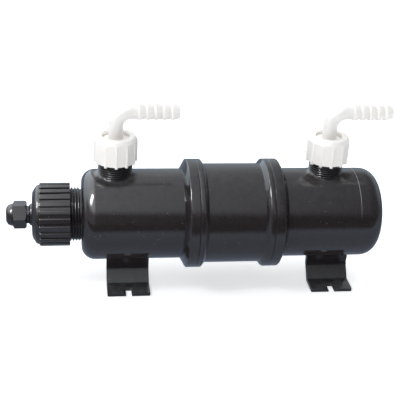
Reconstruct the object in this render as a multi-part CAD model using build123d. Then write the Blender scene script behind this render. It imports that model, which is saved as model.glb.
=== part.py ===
from build123d import *
import os

# In-line ultraviolet clarifier. Millimetres, +Z up, feet on z = 0, tube axis along +X.
# The origin is in the plane of the feet, below the middle of the overall length.
# Threads are left plain: a male thread stands at its root radius and its mate clears the crest.

# ---- driving dimensions ----
axis_z = 60.3              # height of the tube axis above the feet
tube_r = 35.4              # both chambers, outside
wall = 3.0
inlet_round = 10.5         # rounding of the chamber end that carries the lamp neck
outlet_round = 13.5        # rounding of the blind end
inlet_end_x = -91.0        # face of the chamber that carries the lamp neck
outlet_end_x = 145.1       # face of the blind chamber
coupling_x = 26.7          # middle of the coupling sleeve

neck_crest_r = 20.955      # G 1 1/4 pipe thread
neck_root_r = 19.475
neck_mouth_x = -117.0
nipple_crest_r = 13.22     # G 3/4 pipe thread
nipple_root_r = 12.06
nipple_top_z = 118.5
nipple_bore_r = 9.5
inlet_x = -65.2            # axis of the port beside the lamp cap
outlet_x = 100.5           # axis of the port near the blind end

sleeve_r = 11.5            # quartz sleeve, outside
sleeve_wall = 1.5
sleeve_open_x = -118.3
sleeve_tip_x = 139.0

lamp_r = 7.5               # T5 lamp tube
lamp_face_x = -98.0        # pin face of the lamp, 212 mm overall
lamp_length = 212.0

nut_face_x = -128.6        # outer face of the ribbed cap nut
nut_end_x = -99.6
tip_x = -148.5             # outermost point of the cable gland
gland_hex = 19.0           # across flats
gland_hex_turn = 4.0       # degrees from the horizontal to the nearest hexagon corner

elbow_z = 146.1            # axis of the hose tails
elbow_reach = 48.0         # stem axis to the open end of the tail
gap = 0.1                  # running clearance between flat faces that turn on each other

os.makedirs("parts", exist_ok=True)


def rounded(points, rounds):
    """Face from corner points, with {corner index: radius} rounded off."""
    face = make_face(Polyline(*points, close=True))
    for index, radius in rounds.items():
        corner = Vertex(*points[index], 0)
        vertex = min(face.vertices(), key=corner.distance_to)
        face = fillet(vertex, radius)
    return face


def turned_x(points, rounds={}):
    """Solid turned about the tube axis from (x, radius) points."""
    solid = revolve(Plane.XZ * rounded(points, rounds), Axis.X)
    return Pos(0, 0, axis_z) * solid


def turned_z(points, rounds={}):
    """Solid turned about the local Z axis from (radius, z) points."""
    return revolve(Plane.XZ * rounded(points, rounds), Axis.Z)


def bar_x(radius, start, end):
    """Round bar on the tube axis between two x positions."""
    return turned_x([(start, 0), (end, 0), (end, radius), (start, radius)])


def tube_x(outer, inner, start, end):
    """Round tube on the tube axis between two x positions."""
    return turned_x([(start, inner), (end, inner), (end, outer), (start, outer)])


def ring_x(centre_r, section_r, x):
    """Round-section ring about the tube axis."""
    section = Plane.XZ * Pos(x, centre_r) * Circle(section_r)
    return Pos(0, 0, axis_z) * revolve(section, Axis.X)


def save(name, solid):
    export_step(solid, "parts/" + name + ".step")


# ---- chambers ----
inlet_flare_r = 3.0        # blend at the foot of each port
outlet_flare_r = 4.8
boss_r = 13.3              # plain foot of a port, below its thread
boss_rise = 5.2            # height of the plain foot above the crown of the tube
lead_in = 0.6              # chamfer at the mouth of each nipple
stop_half = 1.5            # half width of the coupling's inner stop
inner_r = tube_r - wall


def port(x):
    """Threaded nipple with its plain foot, standing on the tube."""
    foot = Pos(x, 0, axis_z) * extrude(Circle(boss_r), tube_r + boss_rise)
    nipple = Pos(x, 0, axis_z) * extrude(Circle(nipple_root_r), nipple_top_z - axis_z)
    rim = nipple.edges().sort_by(Axis.Z)[-1]
    return foot + chamfer(rim, lead_in)


def with_port(shell, cavity, x, flare_r):
    """Join a port to a chamber, blend its foot and bore it through."""
    body = shell + port(x)
    seam = [
        edge
        for edge in body.edges()
        if abs(((edge @ 0.5).X - x) ** 2 + (edge @ 0.5).Y ** 2 - boss_r**2) < 0.5
        and axis_z < (edge @ 0.5).Z < axis_z + tube_r + stop_half
    ]
    body = fillet(seam, flare_r)
    bore = Pos(x, 0, axis_z) * extrude(Circle(nipple_bore_r), nipple_top_z)
    return body - cavity - bore


seat_r = 15.6              # O-ring seat in the neck's mouth
seat_depth = 4.5
neck_bore_r = sleeve_r + 0.7
past = 1.0                 # length by which a cutter stands past the face it cuts

inlet_shell = turned_x(
    [
        (inlet_end_x, 0),
        (coupling_x - stop_half, 0),
        (coupling_x - stop_half, tube_r),
        (inlet_end_x, tube_r),
    ],
    {3: inlet_round},
)
inlet_shell += bar_x(neck_root_r, neck_mouth_x, inlet_end_x + wall)
inlet_cavity = turned_x(
    [
        (inlet_end_x + wall, 0),
        (coupling_x, 0),
        (coupling_x, inner_r),
        (inlet_end_x + wall, inner_r),
    ],
    {3: inlet_round - wall},
)
inlet_cavity += bar_x(neck_bore_r, neck_mouth_x - past, inlet_end_x + wall + past)
inlet_cavity += bar_x(seat_r, neck_mouth_x - past, neck_mouth_x + seat_depth)
inlet_chamber = with_port(inlet_shell, inlet_cavity, inlet_x, inlet_flare_r)

cup_r = sleeve_r + 0.4     # moulded cup that carries the sleeve's closed end
cup_wall = 2.5
cup_depth = 12.0
outlet_shell = turned_x(
    [
        (coupling_x + stop_half, 0),
        (outlet_end_x, 0),
        (outlet_end_x, tube_r),
        (coupling_x + stop_half, tube_r),
    ],
    {2: outlet_round},
)
outlet_cavity = turned_x(
    [
        (coupling_x, 0),
        (outlet_end_x - wall, 0),
        (outlet_end_x - wall, inner_r),
        (coupling_x, inner_r),
    ],
    {2: outlet_round - wall},
)
outlet_cavity -= tube_x(
    cup_r + cup_wall, cup_r, outlet_end_x - wall - cup_depth, outlet_end_x - wall + past
)
outlet_chamber = with_port(outlet_shell, outlet_cavity, outlet_x, outlet_flare_r)

save("inlet_chamber", inlet_chamber)
save("outlet_chamber", outlet_chamber)

# ---- coupling: sleeve with two flanges, each backed by a rubber ring and a retaining ring ----
sleeve_mid_r = 39.3
band_r = 43.0
flange_foot = 22.0         # half distances along the axis, from the middle of the coupling
flange_in = 25.0
flange_out = 28.9
collar_flat = 36.3         # end of the retaining ring's full diameter
collar_out = 40.2          # where its cone meets the tube
collar_lip = 0.6           # thickness of the cone's end
seal_room = 3.0            # square groove for each rubber ring
seal_slack = 0.1
flange_round = 1.0
joint_bevel = 0.4          # small bevels that show the joint between flange and ring
ring_round = 1.2

sleeve_half = [
    (stop_half, tube_r),
    (flange_out, tube_r),
    (flange_out, band_r - joint_bevel),
    (flange_out - joint_bevel, band_r),
    (flange_in, band_r),
    (flange_foot, sleeve_mid_r),
]
coupling_sleeve = turned_x(
    [(coupling_x + stop_half, inner_r)]
    + [(coupling_x + offset, radius) for offset, radius in sleeve_half]
    + [(coupling_x - offset, radius) for offset, radius in reversed(sleeve_half)]
    + [(coupling_x - stop_half, inner_r)],
    {5: flange_round, 8: flange_round},
)
save("coupling_sleeve", coupling_sleeve)

for name, side in (("inlet", -1), ("outlet", 1)):
    face_x = coupling_x + side * flange_out
    room_x = face_x + side * seal_room
    retaining_ring = turned_x(
        [
            (face_x, tube_r + seal_room),
            (face_x, band_r - joint_bevel),
            (face_x + side * joint_bevel, band_r),
            (coupling_x + side * collar_flat, band_r),
            (coupling_x + side * collar_out, tube_r + collar_lip),
            (coupling_x + side * collar_out, tube_r),
            (room_x, tube_r),
            (room_x, tube_r + seal_room),
        ],
        {3: ring_round},
    )
    seal_ends = sorted((face_x + side * seal_slack, room_x - side * seal_slack))
    seal = tube_x(tube_r + seal_room - seal_slack, tube_r + seal_slack, *seal_ends)
    save(name + "_retaining_ring", retaining_ring)
    save(name + "_seal_ring", seal)

# ---- mounting brackets: bonded saddle, thin web, raked leg and one forward foot with a slot ----
# The section runs across the tube, as (y, z) points with the foot towards -y.
bracket_length = 34.0
inlet_bracket_x = -54.0
outlet_bracket_x = 110.8
saddle_y = 7.0             # half width of the saddle under the tube
saddle_wall = 1.8
web_top_y = 3.0            # half thickness of the web where it leaves the saddle
waist_y = 1.6              # half thickness of the web at its waist
waist_z = 12.9
bead = 1.0                 # raised bead across the front of the waist
leg_wall = 2.8
root_y = -9.7              # front face of the raked leg where it meets the foot
toe_y = -26.1
foot_wall = 2.5
slot_half = 2.25
slot_end_y = -18.0
sink_half = 4.1            # countersunk edge of the slot
sink_depth = 1.4
corner_r = 1.2

tube_bottom = axis_z - tube_r
saddle_top = axis_z - (tube_r**2 - saddle_y**2) ** 0.5
saddle_under = axis_z - ((tube_r + saddle_wall) ** 2 - web_top_y**2) ** 0.5
rake = (waist_z - bead - foot_wall) / (-waist_y - bead / 2 - root_y)
rake_length = (1 + rake**2) ** 0.5
back_y = root_y + leg_wall * rake_length / rake + foot_wall / rake
heel_y = back_y - 2 * foot_wall / rake


def bracket_section():
    """Outline of the bracket across the tube."""
    section = Polyline(
        (saddle_y, saddle_top),
        (saddle_y, saddle_top - saddle_wall),
        (web_top_y, saddle_under),
        (waist_y, waist_z),
        (waist_y, (waist_y - heel_y) * rake),
        (heel_y, 0),
        (toe_y, 0),
        (toe_y, foot_wall),
        (root_y, foot_wall),
        (-waist_y - bead / 2, waist_z - bead),
        (-waist_y - bead, waist_z - bead),
        (-waist_y - bead, waist_z),
        (-waist_y, waist_z + bead / 2),
        (-web_top_y, saddle_under),
        (-saddle_y, saddle_top - saddle_wall),
        (-saddle_y, saddle_top),
    )
    section += ThreePointArc((-saddle_y, saddle_top), (0, tube_bottom), (saddle_y, saddle_top))
    return make_face(section)


def slot_cutter():
    """Open-ended screw slot with countersunk sides."""
    def level(half_width, end_y, height):
        middle_y = (end_y + toe_y - past) / 2
        face = Pos(0, middle_y) * Rectangle(half_width * 2, end_y - toe_y + past)
        return Plane.XY.offset(height) * face

    throat = extrude(level(slot_half, slot_end_y, -past), foot_wall + 2 * past)
    spread = sink_half - slot_half
    low = level(slot_half, slot_end_y, foot_wall - sink_depth)
    high = level(sink_half, slot_end_y + spread, foot_wall)
    return throat + loft([low, high])


bracket = extrude(Plane.YZ * bracket_section(), bracket_length / 2, both=True)
toe_corners = [
    edge for edge in bracket.edges().filter_by(Axis.Z) if abs((edge @ 0.5).Y - toe_y) < past / 2
]
bracket = fillet(toe_corners, corner_r) - slot_cutter()
save("inlet_bracket", Pos(inlet_bracket_x, 0, 0) * bracket)
save("outlet_bracket", Pos(outlet_bracket_x, 0, 0) * bracket)

# ---- lamp cap nut: domed face, smooth shoulder and a ring of grip ribs ----
nut_hole_r = 9.0
nut_bore_r = neck_crest_r + 0.2
nut_shoulder_r = 23.0
nut_skirt_r = 23.3
nut_dome = 3.4             # length of the domed edge of the face
nut_flat_r = 17.6          # where the flat face turns into the dome
nut_rib_r = 24.6
nut_ribs = 24
rib_width = 4.0
rib_height = 3.0
rib_round = 1.1
rib_start_x = -123.2
nut_inner_x = -121.3       # inner face that pushes on the plug
cap_nut = turned_x(
    [
        (nut_face_x, nut_hole_r),
        (nut_face_x, nut_flat_r),
        (nut_face_x + nut_dome, nut_shoulder_r),
        (nut_end_x, nut_skirt_r),
        (nut_end_x, nut_bore_r),
        (nut_inner_x, nut_bore_r),
        (nut_inner_x, nut_hole_r),
    ],
    {1: 2.6, 2: 2.6},
)
rib_profile = Pos(0, nut_rib_r - rib_height / 2) * Rectangle(rib_width, rib_height)
rib_profile = fillet(rib_profile.vertices().sort_by(Axis.Y)[-2:], rib_round)
rib = Pos(rib_start_x, 0, 0) * extrude(Plane.YZ * rib_profile, nut_end_x - rib_start_x)
rib = fillet(rib.faces().sort_by(Axis.X)[0].edges().sort_by(Axis.Z)[-1], rib_round)
for i in range(nut_ribs):
    cap_nut += Pos(0, 0, axis_z) * Rot(360 / nut_ribs * i, 0, 0) * rib
cap_nut -= bar_x(nut_bore_r, nut_inner_x, nut_end_x + past)
save("lamp_cap_nut", cap_nut)

# ---- lamp plug: flange, boss through the nut, and threaded nose of the cable gland ----
plug_flange_r = 19.0
plug_inner_x = neck_mouth_x - 0.3
plug_spigot_r = seat_r - 0.4
press_x = neck_mouth_x + 0.9       # face that squeezes the sleeve's O-ring
socket_neck_r = 5.9
socket_seat_x = -119.4             # bottom of the pocket for the lampholder
socket_fit = 0.2
sleeve_fit = 0.3
boss_out_x = -131.0
boss_plug_r = 8.55
boss_bevel = 1.0
nose_r = 6.9                       # thread root of the gland nose
nose_end_x = -141.0
nose_bore_r = 5.9
nose_bore_end = -132.4
nose_taper = 0.7
lead_r = 4.0                       # passage for the lamp leads
plug = turned_x(
    [
        (nose_end_x, nose_bore_r),
        (nose_end_x, nose_r - nose_taper),
        (nose_end_x + 2 * nose_taper, nose_r),
        (boss_out_x, nose_r),
        (boss_out_x, boss_plug_r - boss_bevel),
        (boss_out_x + boss_bevel, boss_plug_r),
        (nut_inner_x + gap, boss_plug_r),
        (nut_inner_x + gap, plug_flange_r),
        (plug_inner_x, plug_flange_r),
        (plug_inner_x, plug_spigot_r),
        (press_x, plug_spigot_r),
        (press_x, sleeve_r + sleeve_fit),
        (sleeve_open_x - sleeve_fit, sleeve_r + sleeve_fit),
        (sleeve_open_x - sleeve_fit, socket_neck_r + socket_fit),
        (socket_seat_x, socket_neck_r + socket_fit),
        (socket_seat_x, lead_r),
        (nose_bore_end, lead_r),
        (nose_bore_end, nose_bore_r),
    ]
)
save("lamp_plug", plug)

# ---- cable gland: domed hexagon nut and rubber seal ----
hex_start_x = -143.5
hex_end_x = -133.0
hex_bevel = 1.1
hex_corner_r = gland_hex / 3**0.5
dome_r = 8.7
dome_start_x = hex_start_x - 1.0
dome_slope_x = -147.1
tip_r = 5.4
tip_slope_r = 7.6
cable_hole_r = 3.4
gland_bore_r = 7.8
seal_hole_r = 3.1
seal_end_x = -142.0
seal_fit = 0.1
hex_length = hex_end_x - hex_start_x
hex_bar = extrude(Plane.YZ * RegularPolygon(gland_hex / 2, 6, major_radius=False), hex_length)
hex_bar = Pos(hex_start_x, 0, axis_z) * Rot(180 - gland_hex_turn, 0, 0) * hex_bar
hex_envelope = turned_x(
    [
        (hex_start_x, 0),
        (hex_start_x, hex_corner_r - 2 * hex_bevel),
        (hex_start_x + hex_bevel, hex_corner_r),
        (hex_end_x - hex_bevel, hex_corner_r),
        (hex_end_x, hex_corner_r - hex_bevel),
        (hex_end_x, 0),
    ]
)
dome = turned_x(
    [
        (tip_x, 0),
        (tip_x, tip_r),
        (dome_slope_x, tip_slope_r),
        (dome_start_x, dome_r),
        (hex_start_x + hex_bevel, dome_r),
        (hex_start_x + hex_bevel, 0),
    ],
    {1: 0.8, 2: 2.0},
)
gland_nut = (hex_bar & hex_envelope) + dome
gland_nut -= bar_x(gland_bore_r, seal_end_x - 3 * seal_fit, hex_end_x + past)
gland_nut -= bar_x(cable_hole_r, tip_x - past, hex_end_x)
save("gland_nut", gland_nut)

gland_seal = tube_x(nose_bore_r - seal_fit, seal_hole_r, seal_end_x, seal_end_x + 9.0)
save("gland_seal", gland_seal)

# ---- quartz sleeve with one domed end, and its O-ring ----
sleeve_in_r = sleeve_r - sleeve_wall
dome_x = sleeve_tip_x - sleeve_r
quartz_out = bar_x(sleeve_r, sleeve_open_x, dome_x) + Pos(dome_x, 0, axis_z) * Sphere(sleeve_r)
quartz_in = bar_x(sleeve_in_r, sleeve_open_x - past, dome_x)
quartz_in += Pos(dome_x, 0, axis_z) * Sphere(sleeve_in_r)
save("quartz_sleeve", quartz_out - quartz_in)

o_ring_section = 1.7
o_ring_x = neck_mouth_x + seat_depth - o_ring_section
save("sleeve_o_ring", ring_x(sleeve_r + 0.05 + o_ring_section, o_ring_section, o_ring_x))

# ---- lampholder and four-pin lamp ----
pin_r = 1.15
pin_length = 7.0
pin_pitch = 6.35
pin_fit = 0.15
holder_r = 8.6
holder_gap = 0.2
base_length = 14.0
base_r = 8.1
cap_length = 12.0
wire_r = 0.6
wire_gap = 0.05
pin_places = [(y * pin_pitch / 2, z * pin_pitch / 2) for y in (-1, 1) for z in (-1, 1)]


def pin_bar(radius, start, end, y, z):
    """Round bar along X, off the tube axis by (y, z)."""
    return Pos(start, y, axis_z + z) * extrude(Plane.YZ * Circle(radius), end - start)


socket = bar_x(holder_r, plug_inner_x, lamp_face_x - holder_gap)
socket += bar_x(socket_neck_r, socket_seat_x + holder_gap, plug_inner_x)
for y, z in pin_places:
    hole_start = lamp_face_x - pin_length - past
    socket -= pin_bar(pin_r + pin_fit, hole_start, lamp_face_x + past, y, z)
save("lamp_socket", socket)

pins = Compound(
    children=[
        pin_bar(pin_r, lamp_face_x - pin_length, lamp_face_x, y, z) for y, z in pin_places
    ]
)
save("lamp_pins", pins)

glass_start = lamp_face_x + base_length
glass_end = lamp_face_x + lamp_length - cap_length
save("lamp_base", bar_x(base_r, lamp_face_x, glass_start))
save("lamp_tube", bar_x(lamp_r, glass_start, glass_end))
save("lamp_end_cap", bar_x(base_r, glass_end, lamp_face_x + lamp_length))
save("lamp_return_wire", pin_bar(wire_r, glass_start, glass_end, lamp_r + wire_r + wire_gap, 0))

# ---- ports: flat gasket, barbed elbow and twelve-sided union nut ----
# Heights in this section are measured from the nipple's sealing face.
gasket_top = 2.0
gasket_r = 12.0
elbow_flange_r = 12.2
elbow_flange_top = 5.4
elbow_step_r = 9.4
elbow_step_top = 9.2
stem_r = 5.6
tail_r = 5.4
barb_r = 6.5
barb_pitch = 6.3
barb_land = 0.6            # flat on each barb's crest
barb_back = 0.5            # steep side of each barb
barbs = 5
first_barb = 16.5
bend_r = 12.0
water_r = 4.0
axis_rise = elbow_z - nipple_top_z

gasket = turned_z(
    [(nipple_bore_r, 0), (gasket_r, 0), (gasket_r, gasket_top), (nipple_bore_r, gasket_top)]
)

bend_start = (0, 0, axis_rise - bend_r)
bend_inset = bend_r * (1 - 0.5**0.5)
bend_middle = (bend_inset, 0, axis_rise - bend_inset)
bend_end = (bend_r, 0, axis_rise)
route = Line((0, 0, gasket_top), bend_start)
route += ThreePointArc(bend_start, bend_middle, bend_end)
route += Line(bend_end, (first_barb, 0, axis_rise))
elbow = sweep(Plane.XY.offset(gasket_top) * Circle(stem_r), path=route)
elbow += turned_z(
    [
        (0, gasket_top),
        (elbow_flange_r, gasket_top),
        (elbow_flange_r, elbow_flange_top),
        (elbow_step_r, elbow_flange_top),
        (elbow_step_r, elbow_step_top),
        (0, elbow_step_top),
    ],
    {4: 0.6},
)
tail = [(first_barb - past, 0), (first_barb - past, stem_r)]
for i in range(barbs):
    crest = first_barb + barb_pitch * i
    tail += [(crest - barb_back, tail_r), (crest, barb_r), (crest + barb_land, barb_r)]
tail += [(elbow_reach, tail_r - barb_back), (elbow_reach, 0)]
elbow += Pos(0, 0, axis_rise) * revolve(Plane.XZ * make_face(Polyline(*tail, close=True)), Axis.X)
water = sweep(Plane.XY.offset(gasket_top) * Circle(water_r), path=route)
water += Pos(first_barb, 0, axis_rise) * extrude(Plane.YZ * Circle(water_r), elbow_reach)
elbow -= water

union_bottom = -12.4
union_shoulder = elbow_flange_top + gap
union_top = 8.6
union_r = 16.9             # across corners at the top, and below at the skirt
union_foot_r = 16.3
union_sides = 12
union_rim_r = 14.6         # where the flat top turns into its rounded edge
union_crown = 3.6          # height of the rounded edge
union_bevel = 1.3          # bevel round the bottom of the flats
union_hole_r = 10.6
union_bore_r = nipple_crest_r + 0.25
corner_rib_r = 1.2
foot_outline = Plane.XY.offset(union_bottom) * RegularPolygon(union_foot_r, union_sides)
top_outline = Plane.XY.offset(union_top) * RegularPolygon(union_r, union_sides)
union_nut = loft([foot_outline, top_outline])
union_nut &= turned_z(
    [
        (0, union_bottom),
        (union_foot_r - 2 * union_bevel, union_bottom),
        (union_r, union_bottom + union_bevel),
        (union_r, union_top - union_crown),
        (union_rim_r, union_top),
        (0, union_top),
    ]
)
corner_rib = Pos(union_r - corner_rib_r, 0, union_bottom) * extrude(
    Circle(corner_rib_r), union_top - union_bottom - union_crown
)
corner_rib = chamfer(corner_rib.edges().sort_by(Axis.Z)[-1], corner_rib_r / 2)
for i in range(union_sides):
    union_nut += Rot(0, 0, 360 / union_sides * i) * corner_rib
socket_height = union_shoulder - union_bottom + past
union_nut -= Pos(0, 0, union_bottom - past) * extrude(Circle(union_bore_r), socket_height)
union_nut -= extrude(Circle(union_hole_r), union_top + past)

for name, x in (("inlet", inlet_x), ("outlet", outlet_x)):
    place = Pos(x, 0, nipple_top_z)
    save(name + "_gasket", place * gasket)
    save(name + "_elbow", place * elbow)
    save(name + "_union_nut", place * union_nut)
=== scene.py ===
from math import cos, pi, radians, sin

import bmesh
import bpy
from mathutils import Matrix, Vector


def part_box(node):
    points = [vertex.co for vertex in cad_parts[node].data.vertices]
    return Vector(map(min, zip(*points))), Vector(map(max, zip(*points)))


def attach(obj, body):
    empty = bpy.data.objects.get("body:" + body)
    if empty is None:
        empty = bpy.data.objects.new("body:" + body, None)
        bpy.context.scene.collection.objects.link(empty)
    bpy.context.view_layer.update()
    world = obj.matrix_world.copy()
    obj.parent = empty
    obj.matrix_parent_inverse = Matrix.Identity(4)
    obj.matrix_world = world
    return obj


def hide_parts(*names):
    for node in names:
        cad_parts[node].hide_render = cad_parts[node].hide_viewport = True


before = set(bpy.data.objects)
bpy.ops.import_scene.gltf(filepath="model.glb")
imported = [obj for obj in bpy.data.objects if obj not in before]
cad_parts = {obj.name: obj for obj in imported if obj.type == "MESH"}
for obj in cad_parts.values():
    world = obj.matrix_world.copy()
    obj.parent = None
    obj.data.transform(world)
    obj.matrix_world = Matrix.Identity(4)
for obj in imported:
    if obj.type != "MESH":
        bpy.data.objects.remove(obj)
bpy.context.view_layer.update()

mm = 0.001
scene = bpy.context.scene
scene.view_settings.view_transform = "Standard"

# Paper floor
# A sheet of matt white paper laid flat under the feet, large enough to fill the view. Glossy
# rays see a painted reflection in place of the lit paper: a glowing tone, dark grey far in
# front, bright bluish nearer, then painted shade under the object.
paper_half_width = 4.0
paper_drop = 0.2 * mm
painted_reflection_front_y = -0.3
painted_reflection_back_y = 0.1


def linear(colour):
    """sRGB hex colour as linear RGBA."""
    channels = [int(colour[i : i + 2], 16) / 255 for i in (1, 3, 5)]
    return [c / 12.92 if c <= 0.04045 else ((c + 0.055) / 1.055) ** 2.4 for c in channels] + [1.0]


def add(tree, kind, settings={}, inputs={}):
    """Adds one node: settings are its properties, inputs are values or (node, output) links."""
    nodes = tree.node_tree.nodes
    node = nodes.new(kind)
    for name, value in settings.items():
        setattr(node, name, value)
    for name, value in inputs.items():
        if isinstance(value, tuple) and hasattr(value[0], "outputs"):
            tree.node_tree.links.new(value[0].outputs[value[1]], node.inputs[name])
        else:
            node.inputs[name].default_value = value
    return node


def surface(name):
    """A new material with no nodes yet, ready for one finish."""
    material = bpy.data.materials.new(name)
    material.use_nodes = True
    material.node_tree.nodes.clear()
    return material


def piece(name, bm, material):
    """Turns a finished bmesh into an object with one material."""
    bmesh.ops.recalc_face_normals(bm, faces=bm.faces)
    mesh = bpy.data.meshes.new(name)
    bm.to_mesh(mesh)
    bm.free()
    mesh.materials.append(material)
    made = bpy.data.objects.new(name, mesh)
    scene.collection.objects.link(made)
    return made


paper = surface("white_paper")
paper_place = add(paper, "ShaderNodeTexCoord")
paper_split = add(paper, "ShaderNodeSeparateXYZ", inputs={"Vector": (paper_place, "Object")})
across = add(
    paper,
    "ShaderNodeMapRange",
    inputs={"Value": (paper_split, "Y"), "From Min": painted_reflection_front_y, "From Max": painted_reflection_back_y},
)
# Painted reflection: this glowing ramp is what glossy rays see, with painted shade under the object.
painted_reflection_tone = add(paper, "ShaderNodeValToRGB", inputs={"Fac": (across, "Result")})
painted_reflection_tone.color_ramp.elements[0].position = 0.08
painted_reflection_tone.color_ramp.elements[0].color = linear("#5c5a5c")
painted_reflection_tone.color_ramp.elements[1].position = 0.35
painted_reflection_tone.color_ramp.elements[1].color = linear("#cfdff4")
painted_shade_under_object = painted_reflection_tone.color_ramp.elements.new(0.74)
painted_shade_under_object.color = linear("#8f9caf")
painted_reflection = add(paper, "ShaderNodeEmission", inputs={"Color": (painted_reflection_tone, "Color")})
paper_white = add(paper, "ShaderNodeBsdfDiffuse", inputs={"Color": linear("#f2f2f2")})
paper_glow = add(paper, "ShaderNodeEmission", inputs={"Color": linear("#ffffff"), "Strength": 0.5})
paper_lit = add(
    paper, "ShaderNodeAddShader", inputs={0: (paper_white, "BSDF"), 1: (paper_glow, "Emission")}
)
paper_path = add(paper, "ShaderNodeLightPath")
paper_shader = add(
    paper,
    "ShaderNodeMixShader",
    inputs={"Fac": (paper_path, "Is Glossy Ray"), 1: (paper_lit, "Shader"), 2: (painted_reflection, "Emission")},
)
add(paper, "ShaderNodeOutputMaterial", inputs={"Surface": (paper_shader, "Shader")})
floor_mesh = bmesh.new()
bmesh.ops.create_grid(floor_mesh, x_segments=1, y_segments=1, size=paper_half_width)
bmesh.ops.translate(floor_mesh, vec=(0, 0, -paper_drop), verts=floor_mesh.verts)
floor = piece("paper_floor", floor_mesh, paper)

# Studio light
# A white ceiling over a dark room, dimmer and lower on the right, with a key and a fill panel.
# The black plastic mirrors a broad grey field above, a dark band along the tube's middle and
# the paper below. The room's far left and the key's bright core show only in the gloss.
right_sink = 0.6
ceiling_white = "#eef2f6"
left_edge_strength = 1.6
right_edge_strength = 0.2
left_gloss_strength = 2.4
low_back_strength = 1.25
world = bpy.data.worlds.new("studio")
scene.world = world
world.use_nodes = True
world.node_tree.nodes.clear()
direction = add(world, "ShaderNodeTexCoord")
compass = add(world, "ShaderNodeSeparateXYZ", inputs={"Vector": (direction, "Generated")})
rightward = add(world, "ShaderNodeMath", {"operation": "MAXIMUM"}, {0: (compass, "X"), 1: 0.0})
sinking = add(
    world,
    "ShaderNodeMath",
    {"operation": "MULTIPLY_ADD"},
    {0: (rightward, "Value"), 1: right_sink, 2: (compass, "Z")},
)
front_room = add(world, "ShaderNodeValToRGB", inputs={"Fac": (sinking, "Value")})
front_room.color_ramp.elements[0].position = 0.39
front_room.color_ramp.elements[0].color = linear("#6a6668")
front_room.color_ramp.elements[1].position = 0.6
front_room.color_ramp.elements[1].color = linear(ceiling_white)
back_room = add(world, "ShaderNodeValToRGB", inputs={"Fac": (compass, "Z")})
back_room.color_ramp.elements[0].position = 0.1
back_room.color_ramp.elements[0].color = linear("#aab9c4")
back_room.color_ramp.elements[1].position = 0.62
back_room.color_ramp.elements[1].color = linear(ceiling_white)
behind = add(
    world,
    "ShaderNodeMapRange",
    inputs={"Value": (compass, "Y"), "From Min": -0.1, "From Max": 0.25},
)
room = add(
    world,
    "ShaderNodeMix",
    {"data_type": "RGBA"},
    {"Factor": (behind, "Result"), 6: (front_room, "Color"), 7: (back_room, "Color")},
)
right_dim = add(
    world,
    "ShaderNodeMapRange",
    inputs={
        "Value": (compass, "X"),
        "From Min": -0.05,
        "From Max": 0.42,
        "To Min": left_edge_strength,
        "To Max": right_edge_strength,
    },
)
left_lift = add(
    world,
    "ShaderNodeMapRange",
    inputs={
        "Value": (compass, "X"),
        "From Min": -0.2,
        "From Max": -0.02,
        "To Min": left_gloss_strength,
        "To Max": 0.0,
    },
)
sight = add(world, "ShaderNodeLightPath")
left_gloss = add(
    world,
    "ShaderNodeMath",
    {"operation": "MULTIPLY"},
    {0: (left_lift, "Result"), 1: (sight, "Is Glossy Ray")},
)
low_back = add(
    world,
    "ShaderNodeMapRange",
    inputs={"Value": (compass, "Z"), "From Min": 0.3, "From Max": 0.6, "To Min": 1.0, "To Max": 0.0},
)
back_share = add(
    world, "ShaderNodeMath", {"operation": "MULTIPLY"}, {0: (low_back, "Result"), 1: (behind, "Result")}
)
across_room = add(
    world,
    "ShaderNodeMix",
    inputs={"Factor": (back_share, "Value"), "A": (right_dim, "Result"), "B": low_back_strength},
)
strength = add(
    world, "ShaderNodeMath", {"operation": "ADD"}, {0: (across_room, "Result"), 1: (left_gloss, "Value")}
)
studio = add(world, "ShaderNodeBackground", inputs={"Color": (room, 2), "Strength": (strength, "Value")})
backdrop = add(world, "ShaderNodeBackground", inputs={"Color": linear("#fbfbfb")})
sky = add(
    world,
    "ShaderNodeMixShader",
    inputs={"Fac": (sight, "Is Camera Ray"), 1: (studio, "Background"), 2: (backdrop, "Background")},
)
add(world, "ShaderNodeOutputWorld", inputs={"Surface": (sky, "Shader")})
tube_low, tube_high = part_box("coupling_sleeve")
axis_z = (tube_low.z + tube_high.z) / 2


def panel(name, place, width, height, power):
    """Rectangular soft light at a place, turned to face the middle of the tube."""
    data = bpy.data.lights.new(name, "AREA")
    data.shape = "RECTANGLE"
    data.size = width
    data.size_y = height
    data.energy = power
    lamp = bpy.data.objects.new(name, data)
    lamp.location = place
    lamp.rotation_euler = (Vector((0, 0, axis_z)) - Vector(place)).to_track_quat("-Z", "Y").to_euler()
    scene.collection.objects.link(lamp)
    return lamp


key_place = (-0.95, -0.6, 1.5)
fill_place = (0.5, 0.5, 1.2)
panel("key_panel", key_place, width=0.3, height=0.3, power=8.4)
sparkle = panel("sparkle_panel", key_place, width=0.4, height=0.8, power=60.0)
sparkle.visible_diffuse = False
fill = panel("fill_panel", fill_place, width=0.8, height=0.8, power=4.2)
fill.visible_glossy = False

# Camera
# A long lens looking down on the lamp end from the front left, slightly rolled. Its place is
# in metres.
camera_place = (-0.1011, -0.6604, 0.4044)
yaw, pitch, roll = radians(8.88), radians(26.47), radians(3.48)
camera_data = bpy.data.cameras.new("camera")
camera_data.sensor_width = 36.0
camera_data.lens = 85.1
camera = bpy.data.objects.new("camera", camera_data)
turn = Matrix.Rotation(-yaw, 4, "Z") @ Matrix.Rotation(pi / 2 - pitch, 4, "X")
camera.matrix_world = Matrix.Translation(camera_place) @ turn @ Matrix.Rotation(roll, 4, "Z")
scene.collection.objects.link(camera)
scene.camera = camera
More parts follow.
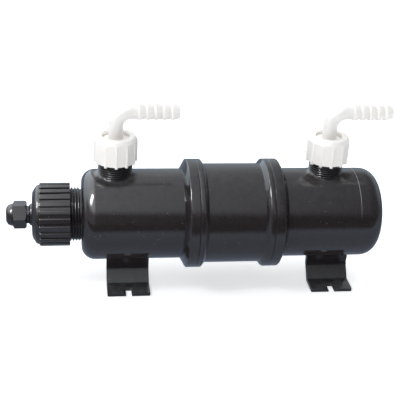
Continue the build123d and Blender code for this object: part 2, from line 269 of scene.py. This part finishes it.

# Chambers, coupling and brackets
# Injection-moulded black ABS, joined with solvent cement. The mould is polished, so the skin
# is glossy with a faint ripple from cooling, hair scratches, and dust on what faces upwards.
# On the low feet the pale dust layer is up to four times thicker: partly dust, partly painted
# light that lifts the feet out of the shade under the tube.
# The mould's halves met round the blind end; that fine parting ridge is drawn as a painted
# highlight, a pale band on top of the tube that fades out part way down the sides.
# The grain and the scratches are drawn coarser than the real ones, so that they show.
ripple_size = 11.0 * mm
grain_size = 0.5 * mm
scratch_size = 1.4 * mm
speck_spacing = 4.2 * mm
film_size = 6.0 * mm
film_cover = 0.1
grit_and_foot_light_low = 3 * mm
grit_and_foot_light_high = 8 * mm
witness_x = 124.7 * mm
witness_core = 0.12 * mm
witness_edge = 0.35 * mm
black_plastic = surface("black_abs_moulded")
place = add(black_plastic, "ShaderNodeTexCoord")
split = add(black_plastic, "ShaderNodeSeparateXYZ", inputs={"Vector": (place, "Object")})
grain = add(
    black_plastic,
    "ShaderNodeTexNoise",
    inputs={"Vector": (place, "Object"), "Scale": 1 / grain_size, "Detail": 2.0},
)
shade = add(black_plastic, "ShaderNodeValToRGB", inputs={"Fac": (grain, "Fac")})
shade.color_ramp.elements[0].position = 0.3
shade.color_ramp.elements[0].color = linear("#181415")
shade.color_ramp.elements[1].position = 0.75
shade.color_ramp.elements[1].color = linear("#292425")
cells = add(
    black_plastic,
    "ShaderNodeTexVoronoi",
    inputs={"Vector": (place, "Object"), "Scale": 1 / speck_spacing, "Randomness": 1.0},
)
dust_mask = add(
    black_plastic,
    "ShaderNodeMapRange",
    inputs={
        "Value": (cells, "Distance"),
        "From Min": 0.02,
        "From Max": 0.065,
        "To Min": 1.0,
        "To Max": 0.0,
    },
)
grit = add(
    black_plastic,
    "ShaderNodeMapRange",
    inputs={
        "Value": (split, "Z"),
        "From Min": grit_and_foot_light_low,
        "From Max": grit_and_foot_light_high,
        "To Min": 0.05,
        "To Max": 0.45,
    },
)
pick = add(
    black_plastic,
    "ShaderNodeMath",
    {"operation": "GREATER_THAN"},
    {0: (cells, "Color"), 1: (grit, "Result")},
)
dust = add(
    black_plastic,
    "ShaderNodeMath",
    {"operation": "MULTIPLY"},
    {0: (dust_mask, "Result"), 1: (pick, "Value")},
)
dusty = add(
    black_plastic,
    "ShaderNodeMix",
    {"data_type": "RGBA"},
    {"Factor": (dust, "Value"), 6: (shade, "Color"), 7: linear("#96989b")},
)
facing = add(black_plastic, "ShaderNodeSeparateXYZ", inputs={"Vector": (place, "Normal")})
film_side = add(
    black_plastic,
    "ShaderNodeMapRange",
    inputs={"Value": (facing, "Z"), "From Min": 0.2, "From Max": 1.0, "To Max": film_cover},
)
film_patches = add(
    black_plastic,
    "ShaderNodeTexNoise",
    inputs={"Vector": (place, "Object"), "Scale": 1 / film_size, "Detail": 4.0},
)
# Painted light: low on the feet the pale dust layer is made up to four times thicker, partly dust and
# partly painted light that lifts them out of the tube's shade.
foot_dust_and_painted_light = add(
    black_plastic,
    "ShaderNodeMapRange",
    inputs={
        "Value": (split, "Z"),
        "From Min": grit_and_foot_light_low,
        "From Max": grit_and_foot_light_high,
        "To Min": 4.0,
        "To Max": 1.0,
    },
)
dust_and_foot_light_depth = add(
    black_plastic,
    "ShaderNodeMath",
    {"operation": "MULTIPLY"},
    {0: (film_side, "Result"), 1: (foot_dust_and_painted_light, "Result")},
)
dust_and_foot_light = add(
    black_plastic,
    "ShaderNodeMath",
    {"operation": "MULTIPLY"},
    {0: (dust_and_foot_light_depth, "Value"), 1: (film_patches, "Fac")},
)
dusted_and_foot_lit = add(
    black_plastic,
    "ShaderNodeMix",
    {"data_type": "RGBA"},
    {"Factor": (dust_and_foot_light, "Value"), 6: (dusty, 2), 7: linear("#8d8f92")},
)
# Painted highlight: a pale band along the parting line, strongest on top and fading out part way down
# the tube's sides.
witness_offset = add(
    black_plastic, "ShaderNodeMath", {"operation": "SUBTRACT"}, {0: (split, "X"), 1: witness_x}
)
witness_distance = add(
    black_plastic, "ShaderNodeMath", {"operation": "ABSOLUTE"}, {0: (witness_offset, "Value")}
)
parting_glint_band = add(
    black_plastic,
    "ShaderNodeMapRange",
    inputs={
        "Value": (witness_distance, "Value"),
        "From Min": witness_core,
        "From Max": witness_edge,
        "To Min": 1.0,
        "To Max": 0.0,
    },
)
parting_glint_fade = add(
    black_plastic,
    "ShaderNodeMapRange",
    inputs={"Value": (split, "Z"), "From Min": axis_z + 10 * mm, "From Max": axis_z + 26 * mm},
)
parting_glint = add(
    black_plastic,
    "ShaderNodeMath",
    {"operation": "MULTIPLY"},
    {0: (parting_glint_band, "Result"), 1: (parting_glint_fade, "Result")},
)
parting_glinted = add(
    black_plastic,
    "ShaderNodeMix",
    {"data_type": "RGBA"},
    {"Factor": (parting_glint, "Value"), 6: (dusted_and_foot_lit, 2), 7: linear("#8a8887")},
)
wipe = add(
    black_plastic,
    "ShaderNodeMapping",
    inputs={"Vector": (place, "Object"), "Scale": (0.12, 1.0, 1.0), "Rotation": (0, 0.35, 0.2)},
)
scratches = add(
    black_plastic,
    "ShaderNodeTexNoise",
    inputs={"Vector": (wipe, "Vector"), "Scale": 1 / scratch_size, "Detail": 4.0},
)
gloss = add(
    black_plastic,
    "ShaderNodeMapRange",
    inputs={
        "Value": (scratches, "Fac"),
        "From Min": 0.3,
        "From Max": 0.75,
        "To Min": 0.09,
        "To Max": 0.2,
    },
)
ripple = add(
    black_plastic,
    "ShaderNodeTexNoise",
    inputs={"Vector": (place, "Object"), "Scale": 1 / ripple_size, "Detail": 1.0},
)
relief = add(
    black_plastic,
    "ShaderNodeBump",
    inputs={"Height": (ripple, "Fac"), "Strength": 0.2, "Distance": 0.12 * mm},
)
fine_relief = add(
    black_plastic,
    "ShaderNodeBump",
    inputs={
        "Height": (grain, "Fac"),
        "Strength": 0.15,
        "Distance": 0.012 * mm,
        "Normal": (relief, "Normal"),
    },
)
black_shader = add(
    black_plastic,
    "ShaderNodeBsdfPrincipled",
    inputs={
        "Base Color": (parting_glinted, 2),
        "Roughness": (gloss, "Result"),
        "IOR": 1.53,
        "Normal": (fine_relief, "Normal"),
    },
)
add(black_plastic, "ShaderNodeOutputMaterial", inputs={"Surface": (black_shader, "BSDF")})


def finished(node, body, material, broken_edge, reshape=None):
    """Welded copy of a moulded part with its sharp edges broken, in millimetres."""
    weld = 0.002 * mm
    flat_angle = radians(0.3)
    sharp_angle = radians(32)
    bm = bmesh.new()
    bm.from_mesh(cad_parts[node].data)
    if reshape:
        reshape(bm)
    bmesh.ops.remove_doubles(bm, verts=bm.verts, dist=weld)
    bmesh.ops.dissolve_limit(
        bm, angle_limit=flat_angle, verts=bm.verts, edges=bm.edges, use_dissolve_boundaries=False
    )
    made = piece(node + "_moulding", bm, material)
    made.data.shade_smooth()
    made.data.set_sharp_from_angle(angle=sharp_angle)
    edges = made.modifiers.new("broken_edges", "BEVEL")
    edges.width = broken_edge * mm
    edges.segments = 2
    edges.limit_method = "ANGLE"
    edges.angle_limit = sharp_angle
    edges.harden_normals = True
    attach(made, body)
    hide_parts(node)


for node in (
    "coupling_sleeve",
    "inlet_retaining_ring",
    "outlet_retaining_ring",
    "inlet_bracket",
    "outlet_bracket",
):
    finished(node, "housing", black_plastic, broken_edge=0.35)

# Port feet
# Each port grows out of its chamber in one moulding, through a concave flare that is wider and
# taller at the outlet. The foot is cut to the thread's root, so that the thread meets the flare.
tube_r = (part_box("outlet_chamber")[1].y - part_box("outlet_chamber")[0].y) / 2
thread_root_r = 12.06 * mm
plain_foot_r = 13.3 * mm
foot_fillet = 6 * mm
foot_fit = 0.05 * mm
flare_sink = 0.2 * mm
flare_skin = 0.8 * mm
flare_turns = 120
flare_rows = 14
flare_thinning = 0.4
near_crown = 0.8


def crown(y):
    """Height of the tube's skin at a distance from its middle plane."""
    return axis_z + (tube_r**2 - y**2) ** 0.5


def port_foot(side, width, rise):
    """Chamber with its port's plain foot cut to the thread's root, and a flare round it."""
    low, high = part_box(side + "_gasket")
    port_x = (low.x + high.x) / 2

    def cut_foot(bm):
        for vert in bm.verts:
            offset = Vector((vert.co.x - port_x, vert.co.y))
            past_foot = offset.length - plain_foot_r
            above = vert.co.z - axis_z > tube_r * near_crown
            if above and abs(past_foot) < foot_fit:
                offset *= thread_root_r / offset.length
                vert.co.x = port_x + offset.x
                vert.co.y = offset.y
            elif above and foot_fit <= past_foot < foot_fillet and vert.co.z > crown(vert.co.y):
                vert.co.z = crown(vert.co.y)

    finished(
        side + "_chamber",
        "housing",
        black_plastic,
        broken_edge=0.25,
        reshape=cut_foot,
    )

    inner_r = thread_root_r - flare_sink
    curve = [pi / 2 * (1 - row / flare_rows) for row in range(flare_rows + 1)]
    outline = [
        (inner_r + width * mm * (1 - sin(quarter)), foot_fit + rise * mm * (1 - cos(quarter)))
        for quarter in curve
    ]
    outline += [
        (outline[-1][0], -flare_skin),
        (inner_r - flare_skin, -flare_skin),
        (inner_r - flare_skin, outline[0][1]),
    ]
    bm = bmesh.new()
    points = [bm.verts.new((out, 0, lift)) for out, lift in outline]
    edges = [bm.edges.new(pair) for pair in zip(points, points[1:] + points[:1])]
    bmesh.ops.spin(
        bm, geom=points + edges, axis=(0, 0, 1), angle=2 * pi, steps=flare_turns, use_merge=True
    )
    for vert in bm.verts:
        out = vert.co.xy.length
        lift = vert.co.z
        along = vert.co.x / out
        aside = vert.co.y / out
        share = 1 - flare_thinning * aside**2
        if out > inner_r:
            out = inner_r + share * (out - inner_r)
        if lift > foot_fit:
            lift = foot_fit + share * (lift - foot_fit)
        vert.co = (port_x + out * along, out * aside, crown(out * aside) + lift)
    flare = piece(side + "_port_flare", bm, black_plastic)
    flare.data.shade_smooth()
    flare.data.set_sharp_from_angle(angle=radians(50))
    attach(flare, "housing")


port_foot("inlet", width=6.5, rise=2.8)
port_foot("outlet", width=10.5, rise=4.0)

# Pipe threads
# Parallel pipe threads moulded on the lamp neck and on both nipples: one rounded ridge winds
# up each plain core, sunk a little into it, and stops square at both ends.


def thread(name, crest_r, root_r, pitch, start, end, place):
    """One helical ridge about the local Z axis, moved into place, all in millimetres."""
    steps = 60
    turns = (end - start) / pitch
    half_base = pitch * 0.47
    round_r = pitch * 0.25
    sunk_r = root_r - 0.3
    flank = radians(60)
    crest_steps = 3
    crest = [
        (crest_r - round_r * (1 - cos(lean)), round_r * sin(lean))
        for lean in [flank * step / crest_steps for step in range(-crest_steps, crest_steps + 1)]
    ]
    outline = [
        (sunk_r, -half_base),
        (root_r, -half_base),
        *crest,
        (root_r, half_base),
        (sunk_r, half_base),
    ]
    bm = bmesh.new()
    face = bm.faces.new([bm.verts.new((r * mm, 0, (start + z) * mm)) for r, z in outline])
    bmesh.ops.spin(
        bm,
        geom=[face],
        axis=(0, 0, 1),
        dvec=(0, 0, pitch * mm / steps),
        angle=2 * pi * turns,
        steps=int(steps * turns),
    )
    bmesh.ops.transform(bm, matrix=place, verts=bm.verts)
    made = piece(name, bm, black_plastic)
    made.data.shade_smooth()
    made.data.set_sharp_from_angle(angle=flank)
    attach(made, "housing")


neck_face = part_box("inlet_chamber")[0].x
neck_place = Matrix.Translation((neck_face, 0, axis_z)) @ Matrix.Rotation(pi / 2, 4, "Y")
thread(
    "neck_thread", crest_r=20.95, root_r=19.475, pitch=2.309, start=1.6, end=25.5, place=neck_place
)

nipple_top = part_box("inlet_chamber")[1].z
for side in ("inlet", "outlet"):
    low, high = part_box(side + "_gasket")
    port_place = Matrix.Translation(((low.x + high.x) / 2, 0, nipple_top))
    thread(
        side + "_nipple_thread",
        crest_r=13.25,
        root_r=12.0,
        pitch=1.814,
        start=-25.2,
        end=-1.4,
        place=port_place,
    )

# Lamp cap nut, plug and gland nut
# The same black ABS as the chambers. The ribbed nut pulls the plug's flange onto the sleeve's
# O-ring, and the domed hexagon nut squeezes the rubber seal on the lamp's cable.
finished("lamp_cap_nut", "cap_nut", black_plastic, broken_edge=0.3)
finished("lamp_plug", "plug_unit", black_plastic, broken_edge=0.15)
finished("gland_nut", "gland_cap", black_plastic, broken_edge=0.3)

# Union nuts and elbows
# White injection-moulded nylon, slightly translucent, with a soft sheen and fine mould grain.
white_grain_size = 0.8 * mm
white_plastic = surface("white_nylon_moulded")
white_place = add(white_plastic, "ShaderNodeTexCoord")
white_grain = add(
    white_plastic,
    "ShaderNodeTexNoise",
    inputs={"Vector": (white_place, "Object"), "Scale": 1 / white_grain_size, "Detail": 3.0},
)
white_shade = add(white_plastic, "ShaderNodeValToRGB", inputs={"Fac": (white_grain, "Fac")})
white_shade.color_ramp.elements[0].color = linear("#ebe7e2")
white_shade.color_ramp.elements[1].color = linear("#f6f2ed")
white_relief = add(
    white_plastic,
    "ShaderNodeBump",
    inputs={"Height": (white_grain, "Fac"), "Strength": 0.15, "Distance": 0.02 * mm},
)
white_shader = add(
    white_plastic,
    "ShaderNodeBsdfPrincipled",
    inputs={
        "Base Color": (white_shade, "Color"),
        "Roughness": 0.38,
        "IOR": 1.53,
        "Subsurface Weight": 0.8,
        "Subsurface Radius": (0.008, 0.0078, 0.0075),
        "Subsurface Scale": 0.4,
        "Normal": (white_relief, "Normal"),
    },
)
add(white_plastic, "ShaderNodeOutputMaterial", inputs={"Surface": (white_shader, "BSDF")})
step_low = nipple_top + 8.0 * mm
step_high = nipple_top + 9.25 * mm
step_drop = 3.0 * mm


def sink_step(bm):
    """Lowers the step round the stem, so that it lies inside the nut's mouth."""
    for vert in bm.verts:
        if step_low < vert.co.z < step_high:
            vert.co.z -= step_drop


for side in ("inlet", "outlet"):
    finished(
        side + "_union_nut",
        side + "_union",
        white_plastic,
        broken_edge=0.35,
    )
    finished(
        side + "_elbow",
        side + "_tail",
        white_plastic,
        broken_edge=0.25,
        reshape=sink_step,
    )

# Seals
# Black nitrile rubber: two rings in the coupling, the sleeve's O-ring, the cable seal and the
# flat gaskets under the elbows. Moulded matt, with a pale bloom of dried chalk in places.


def carried(node, material):
    """Gives a CAD node its finish."""
    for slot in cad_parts[node].material_slots:
        slot.material = material


bloom_size = 2.5 * mm
rubber = surface("black_nitrile_rubber")
rubber_place = add(rubber, "ShaderNodeTexCoord")
bloom = add(
    rubber,
    "ShaderNodeTexNoise",
    inputs={"Vector": (rubber_place, "Object"), "Scale": 1 / bloom_size, "Detail": 5.0},
)
rubber_shade = add(rubber, "ShaderNodeValToRGB", inputs={"Fac": (bloom, "Fac")})
rubber_shade.color_ramp.elements[0].position = 0.45
rubber_shade.color_ramp.elements[0].color = linear("#1a1a1b")
rubber_shade.color_ramp.elements[1].position = 0.8
rubber_shade.color_ramp.elements[1].color = linear("#3b3a3a")
rubber_relief = add(
    rubber, "ShaderNodeBump", inputs={"Height": (bloom, "Fac"), "Strength": 0.3, "Distance": 0.05 * mm}
)
rubber_shader = add(
    rubber,
    "ShaderNodeBsdfPrincipled",
    inputs={
        "Base Color": (rubber_shade, "Color"),
        "Roughness": 0.62,
        "IOR": 1.52,
        "Normal": (rubber_relief, "Normal"),
    },
)
add(rubber, "ShaderNodeOutputMaterial", inputs={"Surface": (rubber_shader, "BSDF")})
for node in (
    "inlet_seal_ring",
    "outlet_seal_ring",
    "sleeve_o_ring",
    "gland_seal",
    "inlet_gasket",
    "outlet_gasket",
):
    carried(node, rubber)

# Quartz sleeve and lamp tube
# Drawn fused quartz, clear with faint drawing lines along its length, so it shows as bright
# edges and long thin reflections over the lamp inside.
drawn_line_width = 1.6 * mm
quartz = surface("drawn_fused_quartz")
quartz_place = add(quartz, "ShaderNodeTexCoord")
drawn = add(
    quartz,
    "ShaderNodeMapping",
    inputs={"Vector": (quartz_place, "Object"), "Scale": (0.03, 1.0, 1.0)},
)
lines = add(
    quartz,
    "ShaderNodeTexNoise",
    inputs={"Vector": (drawn, "Vector"), "Scale": 1 / drawn_line_width, "Detail": 2.0},
)
quartz_relief = add(
    quartz, "ShaderNodeBump", inputs={"Height": (lines, "Fac"), "Strength": 0.1, "Distance": 0.02 * mm}
)
quartz_tint = add(quartz, "ShaderNodeValToRGB", inputs={"Fac": (lines, "Fac")})
quartz_tint.color_ramp.elements[0].color = linear("#eef5f8")
quartz_tint.color_ramp.elements[1].color = linear("#fbfdfe")
quartz_shader = add(
    quartz,
    "ShaderNodeBsdfPrincipled",
    inputs={
        "Base Color": (quartz_tint, "Color"),
        "Roughness": 0.03,
        "IOR": 1.458,
        "Transmission Weight": 0.92,
        "Normal": (quartz_relief, "Normal"),
    },
)
add(quartz, "ShaderNodeOutputMaterial", inputs={"Surface": (quartz_shader, "BSDF")})
carried("quartz_sleeve", quartz)
carried("lamp_tube", quartz)

# Lampholder, lamp base and end cap
# Pressed steatite ceramic, unglazed: matt ivory with fine pores, which are drawn coarser than
# the real ones. The holder is part of the plug, and the base and cap are cemented to the tube.
pore_size = 0.6 * mm
ceramic = surface("pressed_steatite")
ceramic_place = add(ceramic, "ShaderNodeTexCoord")
pores = add(
    ceramic,
    "ShaderNodeTexNoise",
    inputs={"Vector": (ceramic_place, "Object"), "Scale": 1 / pore_size, "Detail": 4.0},
)
ceramic_shade = add(ceramic, "ShaderNodeValToRGB", inputs={"Fac": (pores, "Fac")})
ceramic_shade.color_ramp.elements[0].position = 0.35
ceramic_shade.color_ramp.elements[0].color = linear("#cfc9bb")
ceramic_shade.color_ramp.elements[1].position = 0.6
ceramic_shade.color_ramp.elements[1].color = linear("#ebe7dc")
ceramic_relief = add(
    ceramic, "ShaderNodeBump", inputs={"Height": (pores, "Fac"), "Strength": 0.35, "Distance": 0.04 * mm}
)
ceramic_shader = add(
    ceramic,
    "ShaderNodeBsdfPrincipled",
    inputs={
        "Base Color": (ceramic_shade, "Color"),
        "Roughness": 0.7,
        "IOR": 1.6,
        "Normal": (ceramic_relief, "Normal"),
    },
)
add(ceramic, "ShaderNodeOutputMaterial", inputs={"Surface": (ceramic_shader, "BSDF")})
for node in ("lamp_socket", "lamp_base", "lamp_end_cap"):
    carried(node, ceramic)

# Lamp pins
# Turned brass, slightly tarnished and pressed into the lamp base. The turning rings across
# each pin are drawn coarser than the real ones, so that they show.
turning_pitch = 1.2 * mm
tarnish_size = 1.5 * mm
brass = surface("turned_brass")
brass_place = add(brass, "ShaderNodeTexCoord")
turning = add(
    brass,
    "ShaderNodeTexWave",
    {"wave_type": "BANDS", "bands_direction": "X"},
    {"Vector": (brass_place, "Object"), "Scale": 1 / turning_pitch, "Distortion": 0.6},
)
tarnish = add(
    brass,
    "ShaderNodeTexNoise",
    inputs={"Vector": (brass_place, "Object"), "Scale": 1 / tarnish_size, "Detail": 3.0},
)
brass_shade = add(brass, "ShaderNodeValToRGB", inputs={"Fac": (tarnish, "Fac")})
brass_shade.color_ramp.elements[0].color = linear("#a07c3c")
brass_shade.color_ramp.elements[1].color = linear("#d9b566")
brass_relief = add(
    brass, "ShaderNodeBump", inputs={"Height": (turning, "Fac"), "Strength": 0.2, "Distance": 0.01 * mm}
)
brass_shader = add(
    brass,
    "ShaderNodeBsdfPrincipled",
    inputs={
        "Base Color": (brass_shade, "Color"),
        "Metallic": 1.0,
        "Roughness": 0.28,
        "Normal": (brass_relief, "Normal"),
    },
)
add(brass, "ShaderNodeOutputMaterial", inputs={"Surface": (brass_shader, "BSDF")})
carried("lamp_pins", brass)

# Lamp return wire
# Woven glass sleeving over a nickel wire, running outside the lamp from the base to the far
# cap: matt white, with a diagonal braid that is drawn coarser than the real one.
braid_pitch = 2.0 * mm
sleeving = surface("woven_glass_sleeving")
sleeving_place = add(sleeving, "ShaderNodeTexCoord")
braid_turn = add(
    sleeving,
    "ShaderNodeMapping",
    inputs={"Vector": (sleeving_place, "Object"), "Rotation": (0, 0.8, 0.8)},
)
braid = add(
    sleeving,
    "ShaderNodeTexWave",
    {"wave_type": "BANDS", "bands_direction": "X"},
    {"Vector": (braid_turn, "Vector"), "Scale": 1 / braid_pitch, "Distortion": 0.3},
)
sleeving_shade = add(sleeving, "ShaderNodeValToRGB", inputs={"Fac": (braid, "Fac")})
sleeving_shade.color_ramp.elements[0].color = linear("#c9c7c0")
sleeving_shade.color_ramp.elements[1].color = linear("#f0efe9")
sleeving_relief = add(
    sleeving, "ShaderNodeBump", inputs={"Height": (braid, "Fac"), "Strength": 0.4, "Distance": 0.05 * mm}
)
sleeving_shader = add(
    sleeving,
    "ShaderNodeBsdfPrincipled",
    inputs={
        "Base Color": (sleeving_shade, "Color"),
        "Roughness": 0.8,
        "IOR": 1.5,
        "Normal": (sleeving_relief, "Normal"),
    },
)
add(sleeving, "ShaderNodeOutputMaterial", inputs={"Surface": (sleeving_shader, "BSDF")})
carried("lamp_return_wire", sleeving)
